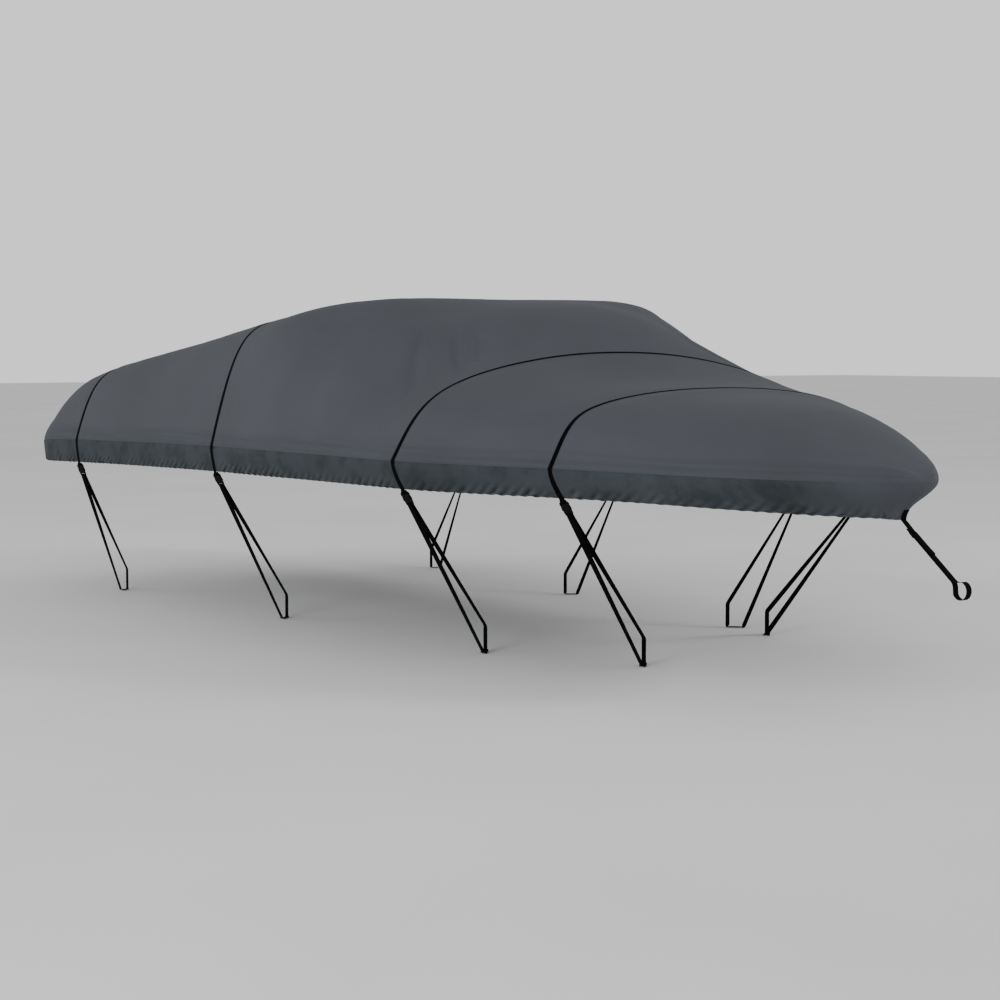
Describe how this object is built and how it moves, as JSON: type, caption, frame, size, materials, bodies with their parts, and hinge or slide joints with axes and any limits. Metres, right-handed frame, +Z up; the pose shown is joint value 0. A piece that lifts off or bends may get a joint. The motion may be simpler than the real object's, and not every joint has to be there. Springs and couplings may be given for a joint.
{
  "type": "boat cover",
  "caption": "Fitted cover for a small open runabout: grey cloth over deck and windshield, a drawn-in band below the gunwale, cross straps with buckles and a bow strap.",
  "frame": {"origin": "underside of the top cloth, on the centre line, at the ridge that lies over the windshield", "axes": "+X towards the bow, +Y to port, +Z up, with the boat level"},
  "size_m": [5.1689, 2.2412, 1.3458],
  "materials": {
    "top_fabric": "matte woven polyester",
    "band_fabric": "matte woven polyester, darker",
    "webbing": "black woven webbing",
    "moulding": "black moulded nylon"
  },
  "bodies": {
    "root": {"top_cloth": "top_fabric", "skirt_cloth": "band_fabric", "cross_strap_1": "webbing", "cross_strap_2": "webbing", "cross_strap_3": "webbing", "cross_strap_4": "webbing", "buckle_1_starboard": "moulding", "buckle_1_port": "moulding", "buckle_2_starboard": "moulding", "buckle_2_port": "moulding", "buckle_3_starboard": "moulding", "buckle_3_port": "moulding", "buckle_4_starboard": "moulding", "buckle_4_port": "moulding", "prong_1_starboard": "moulding", "prong_1_port": "moulding", "prong_2_starboard": "moulding", "prong_2_port": "moulding", "prong_3_starboard": "moulding", "prong_3_port": "moulding", "prong_4_starboard": "moulding", "prong_4_port": "moulding", "loop_strap_1_starboard": "webbing", "loop_strap_1_port": "webbing", "loop_strap_2_starboard": "webbing", "loop_strap_2_port": "webbing", "loop_strap_3_starboard": "webbing", "loop_strap_3_port": "webbing", "loop_strap_4_starboard": "webbing", "loop_strap_4_port": "webbing", "bow_tab": "webbing", "bow_adjuster": "moulding", "bow_strap": "webbing"}
  },
  "joints": []
}
